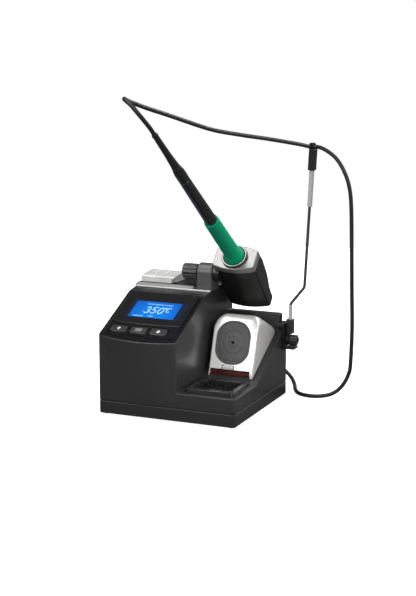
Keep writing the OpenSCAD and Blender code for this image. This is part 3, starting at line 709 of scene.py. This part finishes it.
def make_keys():
    centres = (-56.5, -34.5, -12.5)
    names = ("key_up", "key_select", "key_down")
    for k in range(3):
        c = centres[k]
        outline = [(x + c, y) for x,
                   y in fillet([(-9.3, 7.4 + (0.9 if k == 0 else 0), 2.2), (-4, 7.1, 0), (4, 7.1, 0),
                                                   (9.3, 7.4 + (0.9 if k == 2 else 0), 2.2), (8.9, 17.5, 1.8),
                                (-8.9, 17.5, 1.8)])]
        cap = slab("cap_" + names[k], outline, -1.8, 1.5, PANEL, top=0.8, steps=4)
        if k == 1:
            marks = [slab("mark", rect(c - 3.8, c + 3.8, 12.9, 14.6, 0.3, 2), 1.48, 1.53, PANEL),
                     slab("mark", rect(c - 3.8, c + 3.8, 10.3, 12.0, 0.3, 2), 1.48, 1.53, PANEL)]
        else:
            d = 1 if k == 0 else -1
            arrow = [(c, 12.4 + d * 2.6), (c + d * 2.4, 12.4), (c + d * 0.9, 12.4),
                     (c + d * 0.9, 12.4 - d * 2.2),
                     (c - d * 0.9, 12.4 - d * 2.2), (c - d * 0.9, 12.4), (c - d * 2.4, 12.4)]
            marks = [slab("mark", arrow, 1.48, 1.53, PANEL)]
        paint(cap, key_grey)
        for m in marks:
            paint(m, print_white if k != 1 else print_grey)
        place_on(join("button_" + names[k][4:], cap, *marks), names[k], names[k])

# ---------------------------------------------------------------- top of the console
def make_top():
    trim = from_frame("top_trim_strip", "top_trim", 0.35, 2)
    paint(trim, lip_grey, block_satin)
    paint_where(trim, 1, lambda c, n: c.y < 14.05)
    place_on(trim, "base", "top_trim")
    pad = join("changer_rubber", slab("pad", rect(-71.6, -8.5, 18.8, 70.8, 3), 120.2, 121.6, None, top=0.5),
               slab("ridge", rect(-71.6, -8.5, 66, 70.8, 2), 121, 126, None, top=0.8))
    place_on(pad, "base", "changer_pad", rubber)
    dress("changer_body", "changer_block", 0.7, 3, "base", block_satin)
    dress("stand_post", "stand_ear", 1.2, 3, "base", ear_grey)
    dress("post_bolt", "pivot_bolt", 0.3, 2, "base", bare_steel)

def fluted_knob(name, length, core, bar_r, count, hole, place, material):
    """a round grip with bars round it, its end toward -z recessed"""
    body = turned(name + "_core",
                  lip([(hole, 1.0, 0), (hole, 0, 0.3), (core, 0, 0.8), (core, length, 0.8),
                       (hole, length, 0.3), (hole, 1.0, 0)]), None, 96)
    paint(body, material)
    bar = turned(name + "_bar",
                 lip([(0, 0.5, 0), (bar_r, 0.5, 0.4), (bar_r, length - 0.6, 0.4), (0, length - 0.6, 0)]),
                 at(core - bar_r * 0.25, 0, 0), 12)
    bars = ring(bar, count, material)
    ob = join(name, body, bars)
    return shift(ob, place)

def make_tilt_knob():
    knob = fluted_knob("tilt_grip", 17.3, 7.4, 1.25, 12, 3.3, TILT_KNOB, knob_black)
    face = slab("tilt_face", circle(4.6, 48), 1.0, 2.4, TILT_KNOB, top=0.2)
    place_on(join("tilt_grip_all", knob, paint(face, knob_black)), "tilt_knob", "tilt_knob")

# ---------------------------------------------------------------- stand
SHROUD = [(18, 142.1, 0), (62.7, 96.2, 3), (70.6, 106.2, 3.2), (61.2, 117.9, 10), (52.8, 134.7, 12),
          (39.7, 151.9, 3.2), (32, 157.7, 0)]

def bowed(w, d, sag, r, n=20):
    """outline w wide, bowed by sag at the front and the back, with round corners"""
    arc = [(-w / 2 + w * k / n, -d - sag * (1 - (2 * k / n - 1) ** 2)) for k in range(n + 1)]
    low = [(x, y, r if k in (0, n) else 0) for k, (x, y) in enumerate(arc)]
    return fillet(low + [(-x, -y, q) for x, y, q in low], 6)

def make_stand():
    front_y, front_z = 18, 142.1
    lean = Vector((0, -0.7169, -0.6972))  # outward from the shroud's front
    left, width, across, sag = 14, 46, 24, 3.5
    bm = bmesh.new()
    outline = fillet(SHROUD, 6)
    rows = []
    for k in range(across + 1):
        x, out = left + width * k / across, lean * (sag * (1 - (2 * k / across - 1) ** 2))
        row_k = []
        for y, z in outline:
            on_front = (y - front_y) * -lean.y + (z - front_z) * -lean.z < 0.4
            row_k.append(bm.verts.new(Vector((x, y, z)) + (out if on_front else Vector())))
        rows.append(row_k)
    bridge(bm, rows)
    bm.faces.new(list(reversed(rows[0])))
    bm.faces.new(rows[-1])
    body = piece("stand_body", bm)
    soften(body, 1.6, 4, 40, lambda c, a, b: abs(a.x) > 0.8 or abs(b.x) > 0.8)
    spine = turned("spine", lip([(0, -78, 0), (13, -78, 2), (13, -8, 0), (0, -8, 0)]), TOOL, 96)
    cut(body, spine, how="UNION")
    boss = turned("boss", lip([(0, 13, 0), (9, 13, 0.6), (9, 20, 0), (0, 20, 0)]), PIVOT, 72)
    cut(body, boss, how="UNION")
    cut(body, drill(10.6, -90, 20, TOOL),
        drill(3.1, 10, 15, PIVOT, 48),
        slab("cap_room", rect(-40, 40, -30, 30, 0, 1), -8, 20, CAP))
    place_on(body, "stand", "stand_shroud", stand_black)
    cap = slab("stand_face", bowed(46, 10.5, 4.3, 3.2), -7.85, 0, CAP, top=1.2, foot=0.5, steps=4)
    cut(cap, drill(12.2, -40, 40, TOOL))
    place_on(cap, "stand", "stand_cap", cap_silver_painted_shade)
    collar = turned("stand_mouth",
                    lip([(11.4, 0.05, 0), (13.6, 0.05, 0), (13.6, 3.55, 0.9), (11.9, 3.55, 0.3),
                         (11.4, 0.05, 0)]), CAP, 96)
    cut(collar, drill(11.7, -40, 40, TOOL))
    paint(collar, dark_metal, white_ring)
    outward = (CAP.to_3x3() @ Vector((0, 0, 1))).normalized()
    paint_where(collar, 1, lambda c, n: n.dot(outward) > 0.3 and (c - CAP.translation).length < 13.5)
    place_on(collar, "stand", "stand_ring")
    liner = turned("stand_sleeve",
                   lip([(7.6, -74, 0), (10.3, -74, 0.5), (10.3, -9, 0), (11.55, -9, 0), (11.55, -2.3, 0.4),
                                        (7.6, -2.3, 0.4), (7.6, -74, 0)]), TOOL, 96)
    place_on(liner, "stand", "stand_liner", handle_black)

# ---------------------------------------------------------------- tool
def make_tool():
    foot = [(5.8, -2), (10.0, -2), (10.5, -1.6), (10.6, -1.0), (10.6, 0.6), (10.3, 2.2), (9.6, 4.2),
            (9.0, 6.4), (8.6, 9.0), (8.35, 13)]
    top = [(7.72, 74.2), (7.5, 75.3), (7.0, 75.9), (5.8, 76.0), (5.8, 60), (5.8, -2)]
    grip = turned("tool_grip", foot + [(8.3 - 0.6 * k / 12, 16 + 58 * k / 12) for k in range(12)] + top, TOOL,
                  128)
    place_on(grip, "tool", "grip_sleeve", grip_green, weighted=False)
    handle = turned("tool_handle",
                    lip([(0, -4, 0), (5.7, -4, 0.3), (5.7, 76.2, 0), (6.3, 76.3, 0.2), (5.4, 156.2, 0.3),
                         (4.8, 156.5, 0),
                                        (4.8, 157.7, 0), (5.5, 158, 0.3), (5.5, 170, 8), (4.2, 180, 2),
                         (4.1, 180.05, 0), (0, 180.05, 0)], 6), TOOL, 96)
    place_on(handle, "tool", "handle_body", handle_black, angle=25)
    core = turned("relief_core",
                  lip([(0, 180.1, 0), (4.1, 180.1, 0), (3.3, 200, 30), (2.7, 237.4, 0.3), (0, 237.4, 0)], 8),
                  TOOL, 64)
    paint(core, handle_black)
    bead = turned("relief_bead", washer(2.0, 3.1, 0, 0.8, 0.4), None, 48)
    beads = shift(row(bead, 2, (0, 0, 1.2), rubber, 0.02), TOOL @ at(0, 0, 234.7))
    place_on(join("tool_relief", core, beads), "tool", "handle_relief")
    for name, node, slot, material, sides, profile in (
            ("tool_collar", "nose_collar", "bare_steel", bare_steel, 72,
             [(0, -16, 0), (4.6, -16, 0.3), (5.6, -8, 0), (6.4, -8, 0.3), (6.4, -4, 0.3), (0, -4, 0)]),
            ("tool_cartridge", "cartridge_shaft", "bare_steel", bare_steel, 64,
             [(0, -47, 0), (3.4, -47, 0.3), (3.4, -44, 0.3), (3, -44, 0), (3, -16, 0), (0, -16, 0)]),
            ("tool_tip", "soldering_tip", "tip_metal", tinned, 64,
             [(0, -63, 0), (0.5, -63, 0.1), (1.0, -60, 0), (2.1, -54, 0.8), (2.1, -47, 0), (0, -47, 0)])):
        place_on(turned(name, lip(profile), TOOL, sides), "tool", node, material)

# ---------------------------------------------------------------- tip cleaner
ROOF = [(0, 18.6), (-0.25, 21.0), (-1.35, 24.4), (-3.2, 27.2), (-5.85, 29.2), (-9.8, 30.8), (-14.6, 31.3),
        (-20, 31.0), (-37.5, 29.5), (-51.7, 27.9), (-59, 27.1), (-75, 25.3)]

def roof(w):
    """height of the cover's top at a depth w behind its face"""
    for (w0, v0), (w1, v1) in zip(ROOF, ROOF[1:]):
        if w1 <= w:
            return v0 + (v1 - v0) * (w0 - w) / (w0 - w1)
    return ROOF[-1][1]

def pod_block(name, g, r):
    """the cover's outline swept back from its face, g inside the outer skin; r rounds the rim of the face"""
    half, corner, foot, middle = 24.4, 12, -52, 0.6
    depths = {w for w, v in ROOF}
    if r:
        depths |= {0.0} | {-r * (1 - cos(radians(15 * k))) for k in range(7)}
    bm = bmesh.new()
    rings, quarter = [], [radians(90 * k / 14) for k in range(15)]
    for w in sorted(depths, reverse=True):
        back = (1 - sqrt(max(0.0, 1 - (1 + w / r) ** 2))) * r if r and w > -r else 0.0
        h, top, c = half - g - back, roof(w) - g, corner - g - back * 0.5
        line = [(h - c + c * cos(a), top - c + c * sin(a)) for a in quarter]
        line = [(h, foot)] + line + [(-x, y) for x, y in reversed(line)] + [(-h, foot)]
        rings.append([bm.verts.new(POD @ Vector((x + middle, y, w - g))) for x, y in line])
    bridge(bm, rings)
    bm.faces.new(list(reversed(rings[-1])))
    bm.faces.new(rings[0])
    return piece(name, bm)

def make_cleaner():
    outer = pod_block("cleaner_shell", 0, 2.2)
    cut(outer, pod_block("inner", 2, 0),
        slab("under", [(-90, -8.3), (100, 94.8), (100, -90), (-90, -90)], -20, 100, SIDE),
        slab("front", [(-90, -60), (-9.5, -60), (-9.5, 60), (-90, 60)], -20, 100, SIDE),
        slab("behind", [(64.6, -60), (120, -60), (120, 120), (64.6, 120)], -20, 100, SIDE),
        slab("window", rect(-17.5, 17.5, -21.5, 21.5, 15.5, 16), -6, 6, POD),
        slab("rim_step", rect(-18.2, 18.2, -22.2, 22.2, 16.2, 16), -0.6, 6, POD),
        slab("residue_gap", [(20, -20), (65, -20), (65, 0), (20, 0)], 20, 43.0),
        slab("latch_gap", rect(33.2, 47.8, 42, 47, 1.2), -2, 20, turn(90, "X")))
    paint(outer, silver_satin)
    place_on(outer, "cleaner", "cleaner_cover", angle=30)
    latch = slab("latch_tab", rect(34.3, 46.7, 42.7, 46.3, 0.9), 4.7, 9.6, turn(90, "X"), top=0.6)
    place_on(latch, "latch", "cleaner_latch", silver_satin)
    dress("residue_tray", "cleaner_tray", 0.3, 2, "base", residue_red)

def make_membrane():
    """rubber lips: a round-cornered plate with two pressed rings and a slit hole"""
    def edge(angle, w, h, r):
        c, s = abs(cos(angle)), abs(sin(angle))
        t = min(w / max(c, 1e-6), h / max(s, 1e-6))
        x, y = c * t, s * t
        if x > w - r and y > h - r:
            cx, cy = w - r, h - r
            b = c * cx + s * cy
            t = b + sqrt(max(b * b - (cx * cx + cy * cy - r * r), 0))
        return t
    def height(r, gap):
        z = 0.95 + 0.25 * (1 - min(1.0, r / 18))
        z -= 0.45 * math.exp(-((r - 6) / 0.45) ** 2) + 0.45 * math.exp(-((r - 12) / 0.45) ** 2)
        z += 0.25 * math.exp(-((r - 2.6) / 0.5) ** 2)
        if gap < 1.0:
            z -= 0.9 * (1 - gap) ** 2
        z -= 0.35 * math.exp(-((gap - 2.6) / 0.45) ** 2)
        return z
    bm = bmesh.new()
    sides, rows, hole, outer, inside = 144, 64, 1.6, (18.9, 22.9, 16.9), (17, 21, 15)
    angles = spokes(sides)
    def loop(z, radius):
        return [bm.verts.new((radius(a) * cos(a), radius(a) * sin(a), z)) for a in angles]
    rings = []
    for i in range(rows + 1):
        ring_i = []
        for a in angles:
            full = edge(a, *outer)
            r = hole + (full - hole) * i / rows
            ring_i.append(bm.verts.new((r * cos(a), r * sin(a), height(r, full - r))))
        rings.append(ring_i)
    skirt = loop(0.05, lambda a: edge(a, *outer))
    inner = loop(-2.0, lambda a: hole)
    back = loop(0.05, lambda a: edge(a, *inside))
    deep = [bm.verts.new((v.co.x, v.co.y, -2.4)) for v in back]
    bridge(bm, [deep, inner] + rings + [skirt, back, deep])
    lips = piece("cleaner_lips", bm, POD)
    place_on(lips, "cleaner", "cleaner_membrane", membrane_rubber, angle=60, weighted=False)

def make_wool():
    """a loose ball of brass curls"""
    rng = random.Random(11)
    strands = []
    for _ in range(60):
        a, b = rng.uniform(0, 2 * pi), rng.uniform(-0.9, 1.0)
        side = sqrt(1 - b * b)
        mid = Vector((42.5, 26, 70)) + Vector((cos(a) * side, sin(a) * side, b)) * rng.uniform(3.5, 8.5)
        u = Vector((rng.uniform(-1, 1), rng.uniform(-1, 1), rng.uniform(-1, 1))).normalized()
        v = u.orthogonal().normalized()
        r, turns = rng.uniform(1.4, 2.6), rng.uniform(1.2, 2.2)
        pts = [mid + (u.cross(v) * cos(t) + v * sin(t)) * r + u * (t * 0.35 - turns * 1.0)
               for t in [turns * 2 * pi * k / 26 for k in range(27)]]
        strands.append(tube("curl", pts, 0.32, 5))
    place_on(join("brass_curls", *strands), "base", "cleaner_wool", brass, angle=60,
             weighted=False)

# ---------------------------------------------------------------- sponge tray
def make_wiper():
    dress("wiper_dish", "wiper_tray", 0.6, 3, "wiper", gloss_tray)
    dress("wiper_pad", "wiper_insert", 0, 2, "wiper", sponge_dark)

# ---------------------------------------------------------------- cable arm
def make_arm():
    dress("arm_shelf", "arm_bracket", 0.8, 3, "base", stand_black)
    dress("arm_cradle", "arm_fork", 0.4, 2, "cable_arm", case_grey)
    dress("arm_axle", "arm_pin", 0.2, 2, "base", bare_steel)
    foot, knee = Vector((80.6, 68, 99)), Vector((96, 68, 119.5))
    elbow = Vector((80.6, 68, 100.2))
    tip = ARM @ Vector((0, 0, 107))
    def corner(a, p, b, d, n=8):
        u, v = (a - p).normalized(), (b - p).normalized()
        s, e = p + u * d, p + v * d
        return [(1 - t) ** 2 * s + 2 * t * (1 - t) * p + t * t * e for t in [k / n for k in range(n + 1)]]
    root = foot - Vector((0, 0, 20))
    path = [root, foot - Vector((0, 0, 2.6))] + corner(root, elbow, knee, 2.2)
    path += corner(elbow, knee, tip, 2.5) + [knee.lerp(tip, 0.3), knee.lerp(tip, 0.6), tip]
    rod = tube("arm_wire", path, 1.5, 24)
    paint(rod, bare_steel)
    collar = turned("arm_collar", lip([(0, 72.2, 0), (2.0, 72.2, 0.3), (2.0, 99, 0.4), (0, 99, 0)]),
                    at(80.6, 68, 0), 48)
    place_on(join("arm_rod_all", rod, paint(collar, silver_satin)), "cable_arm", "arm_rod")
    sleeve = turned("arm_sleeve", washer(1.56, 2.6, 86, 128, 0.3), ARM, 48)
    place_on(sleeve, "arm_slider", "arm_tube", silver_satin)
    dress("arm_clip", "cable_clip", 0.35, 3, "arm_slider", stand_black)
    knob = fluted_knob("arm_grip", 8.8, 5.2, 0.9, 12, 2.8, ARM_KNOB, knob_black)
    end = turned("arm_grip_end",
                 lip([(1.8, 6.2, 0), (2.85, 6.2, 0), (2.85, 8.6, 0), (1.8, 8.6, 0.2), (1.8, 6.2, 0)]),
                 ARM_KNOB, 48)
    place_on(join("arm_grip_all", knob, paint(end, knob_black)), "arm_knob", "arm_knob")

# ---------------------------------------------------------------- back
def make_back():
    dress("back_plate", "rear_panel", 0.2, 1, "base", plate_steel)
    inlet = from_frame("mains_socket", "mains_inlet", 0.4, 2)
    paint(inlet, panel_black)
    pins = [slab("pin", rect(-1, 1, -2.2, 2.2, 0.4, 3), 0, 13, at(x, 58.2, 39.3 + dz) @ ALONG_Y,
                 top=0.5) for x, dz in ((-47, -1.4), (-40, 1.4), (-33, -1.4))]
    for p in pins:
        paint(p, contact_gold)
    place_on(join("mains_socket_all", inlet, *pins), "base", "mains_inlet")
    for name, node, width, body, slot, material in (
            ("fuse_door", "fuse_drawer", 0.3, "fuse", "black_plastic", panel_black),
            ("switch_surround", "switch_frame", 0.4, "base", "black_plastic", panel_black),
            ("switch_rocker", "mains_rocker", 0.3, "rocker", "black_plastic", gloss_tray),
            ("earth_jack", "earth_socket", 0.3, "base", "earth_green", earth_green),
            ("data_jack", "data_socket", 0.3, "base", "black_plastic", panel_black),
            ("tool_jack", "tool_socket", 0.3, "base", "bare_steel", bare_steel)):
        dress(name, node, width, 2, body, material)
    plug = from_frame("plug_body", "tool_plug", 0.4, 2)
    paint(plug, rubber)
    rib = turned("plug_rib", washer(7.4, 8.5, 0, 1.6, 0.5), None, 48)
    ribs = shift(row(rib, 5, (0, 0, 3.2), rubber), at(36, 78, 30) @ ALONG_Y)
    place_on(join("plug_all", plug, ribs), "base", "tool_plug")

# ---------------------------------------------------------------- inside
def dress_inside():
    """the working parts under the case keep their frame shapes and get their real finishes"""
    for node, material in (("ballast_plate", plate_steel), ("transformer_core", plate_steel),
                           ("transformer_winding", copper),
                           ("main_board", board_green), ("board_parts", chip_black), ("heatsink", fin_alloy),
                           ("display_board", board_green), ("display_module", module_grey), ("key_mat", rubber),
                           ("base_screws", bare_steel)):
        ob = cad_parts[node]
        ob.data.materials.clear()
        ob.data.materials.append(material)

# ---------------------------------------------------------------- studio
def make_studio():
    bm = bmesh.new()
    bmesh.ops.create_circle(bm, cap_ends=True, segments=64, radius=1.0)
    mesh = bpy.data.meshes.new("studio_floor")
    bm.to_mesh(mesh)
    bm.free()
    floor = add("studio_floor", mesh)
    m = bpy.data.materials.new("pale_paper")
    t = new_tree(m)
    out, shader, flat = new_nodes(t, "OutputMaterial", "BsdfPrincipled", "Emission")
    ray, pick, both = new_nodes(t, "LightPath", "MixShader", "AddShader")
    shader.inputs["Base Color"].default_value = (0.80, 0.80, 0.80, 1)
    shader.inputs["Roughness"].default_value = 0.7
    shader.inputs["Specular IOR Level"].default_value = 0.1
    dim = t.nodes.new("ShaderNodeBsdfPrincipled")
    dim.inputs["Base Color"].default_value = (0.13, 0.13, 0.13, 1)
    dim.inputs["Roughness"].default_value = 0.8
    flat.inputs["Strength"].default_value = 0.90
    link(t, shader.outputs[0], both.inputs[0])
    link(t, flat.outputs[0], both.inputs[1])
    link(t, ray.outputs["Is Camera Ray"], pick.inputs[0])
    link(t, dim.outputs[0], pick.inputs[1])
    link(t, both.outputs[0], pick.inputs[2])
    link(t, pick.outputs[0], out.inputs[0])
    paint(floor, m)
    world = bpy.data.worlds.new("studio")
    t = new_tree(world)
    out, room, paper = new_nodes(t, "OutputWorld", "Background", "Background")
    ray, pick = new_nodes(t, "LightPath", "MixShader")
    room.inputs[0].default_value, room.inputs[1].default_value = (1, 1, 1, 1), 0.14
    paper.inputs[0].default_value, paper.inputs[1].default_value = (1, 1, 1, 1), 1.0
    link(t, ray.outputs["Is Camera Ray"], pick.inputs[0])
    link(t, room.outputs[0], pick.inputs[1])
    link(t, paper.outputs[0], pick.inputs[2])
    link(t, pick.outputs[0], out.inputs[0])
    scene.world = world
    scene.view_settings.view_transform = "Standard"
    def put(name, data, place, aim):
        ob = add(name, data)
        ob.location = place
        ob.rotation_euler = (Vector(place) - Vector(aim)).to_track_quat("Z", "Y").to_euler()
    def lamp(name, place, size, power, aim=(0, 0, 0.1)):
        data = bpy.data.lights.new(name, "AREA")
        data.shape, data.size, data.size_y, data.energy = "RECTANGLE", size[0], size[1], power
        put(name, data, place, aim)
    lamp("right_softbox", (0.9, -1.35, 1.0), (0.8, 0.8), 11)
    lamp("left_softbox", (-0.8, -1.7, 0.85), (0.7, 0.7), 9.5)
    lamp("top_softbox", (-0.35, -0.35, 1.6), (1.2, 0.9), 14)
    lamp("side_softbox", (1.6, 0.5, 0.7), (0.5, 0.7), 7)
    lamp("back_strip", (0.5, 1.3, 0.8), (1.2, 0.3), 8, (0, 0, 0.15))
    lamp("edge_strip", (-0.8, -1.15, 1.55), (0.45, 0.45), 3)
    data = bpy.data.lights.new("wall_spot", "SPOT")
    data.energy, data.spot_size, data.spot_blend, data.shadow_soft_size = 190, radians(4.2), 1.0, 0.06
    put("wall_spot", data, (1.1, -0.75, 0.42), (0.0122, -0.035, 0.062))

for build in (set_camera, make_cables, make_case, make_panel, make_screen, make_keys, make_top, make_tilt_knob,
              make_stand, make_tool, make_cleaner, make_membrane, make_wool, make_wiper, make_arm, make_back,
              dress_inside, make_studio):
    build()
